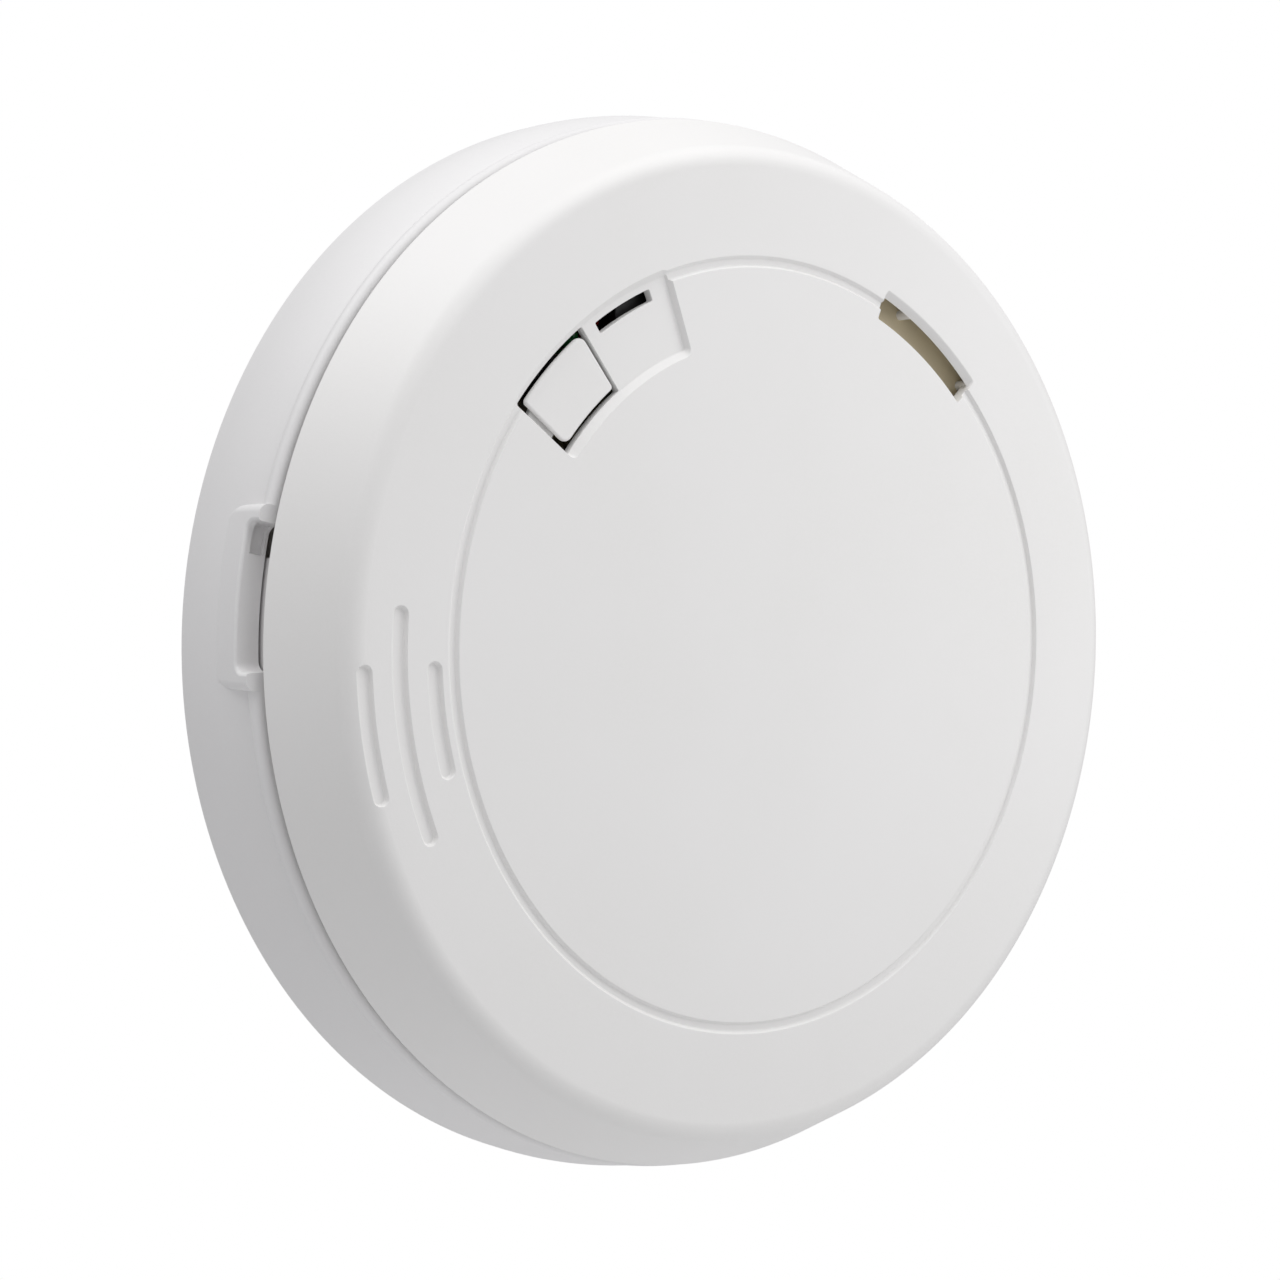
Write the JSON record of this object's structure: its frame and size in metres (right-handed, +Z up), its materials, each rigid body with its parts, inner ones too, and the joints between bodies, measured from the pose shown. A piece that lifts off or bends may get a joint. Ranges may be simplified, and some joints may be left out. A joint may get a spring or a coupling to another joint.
{
  "type": "smoke detector",
  "caption": "Slim round wall or ceiling smoke alarm with a twist-on wall bracket, a press-to-test flap, a horn opening and a side power slider.",
  "frame": {"origin": "centre of the bracket's rear face, on the wall", "axes": "+Z up the wall, +Y into the wall, so the alarm faces -Y; +X to the right when it is seen from the front"},
  "size_m": [0.1462, 0.0275, 0.1462],
  "materials": {
    "cover_abs": "white injection-moulded ABS with a fine satin texture",
    "bracket_abs": "white injection-moulded ABS, satin, a little softer in gloss",
    "housing_abs": "off-white injection-moulded ABS, satin",
    "slider_abs": "light grey moulded ABS, satin",
    "board_laminate": "tan paper laminate, used for the circuit board and the horn baffle, satin",
    "chamber_black": "black moulded plastic, dead matte inside to trap light",
    "horn_plastic": "black moulded nylon, matte",
    "component_black": "black moulded epoxy and ferrite, semi-gloss",
    "screen_steel": "woven stainless mesh",
    "tinned_steel": "tinned steel sheet, satin",
    "nickel_strip": "nickel-plated strip, satin",
    "screw_steel": "zinc-plated steel",
    "sounder_brass": "rolled brass sheet, satin",
    "sounder_ceramic": "silvered piezo ceramic, matte",
    "cell_sleeve": "blue shrink sleeve, glossy",
    "infrared_epoxy": "pale tinted clear epoxy",
    "diode_epoxy": "dark filtering epoxy, glossy",
    "capacitor_can": "drawn aluminium can, satin",
    "chip_ceramic": "tan ceramic chip body, matte",
    "led_red": "red tinted epoxy, glossy",
    "led_green": "green tinted epoxy, glossy",
    "label_film": "blank silver-white polyester label"
  },
  "bodies": {
    "bracket": {"mounting_bracket": "bracket_abs"},
    "alarm": {"front_cover": "cover_abs", "rear_housing": "housing_abs", "circuit_board": "board_laminate", "smoke_chamber_base": "chamber_black", "smoke_chamber_cap": "chamber_black", "insect_screen": "screen_steel", "infrared_led": "infrared_epoxy", "photodiode": "diode_epoxy", "receiver_shield": "tinned_steel", "horn_housing": "horn_plastic", "horn_baffle": "board_laminate", "piezo_disc": "sounder_brass", "piezo_ceramic": "sounder_ceramic", "horn_contacts": "nickel_strip", "lithium_cell": "cell_sleeve", "battery_tab_positive": "nickel_strip", "battery_tab_negative": "nickel_strip", "control_chip": "component_black", "boost_inductor": "component_black", "electrolytic_capacitors": "capacitor_can", "ceramic_capacitors": "chip_ceramic", "resistors": "component_black", "status_led_red": "led_red", "status_led_green": "led_green", "tact_switch_body": "component_black", "power_switch_body": "component_black", "housing_screws": "screw_steel", "board_screws": "screw_steel", "rating_label": "label_film"},
    "button": {"test_button": "cover_abs"},
    "switch_plunger": {"tact_plunger": "component_black"},
    "slider": {"power_slider": "slider_abs"}
  },
  "joints": [
    {"name": "alarm_twist", "type": "hinge", "parent": "bracket", "child": "alarm", "pos_m": [0, 0, 0], "axis": [0, -1, 0], "range_deg": [0, 15]},
    {"name": "test_press", "type": "hinge", "parent": "alarm", "child": "button", "pos_m": [-0.03791, -0.0249, 0.02637], "axis": [-0.8209, 0, 0.5711], "range_deg": [0, 1.5], "stiffness_Nm_per_rad": 0.3},
    {"name": "plunger_travel", "type": "slide", "parent": "alarm", "child": "switch_plunger", "axis": [0, 1, 0], "range_m": [0, 0.00025]},
    {"name": "power_slide", "type": "hinge", "parent": "alarm", "child": "slider", "pos_m": [0, 0, 0], "axis": [0, 1, 0], "range_deg": [0, 2.4]}
  ],
  "couplings": [
    {"joint": "plunger_travel", "follows": "test_press", "m_per_rad": 0.0095}
  ]
}
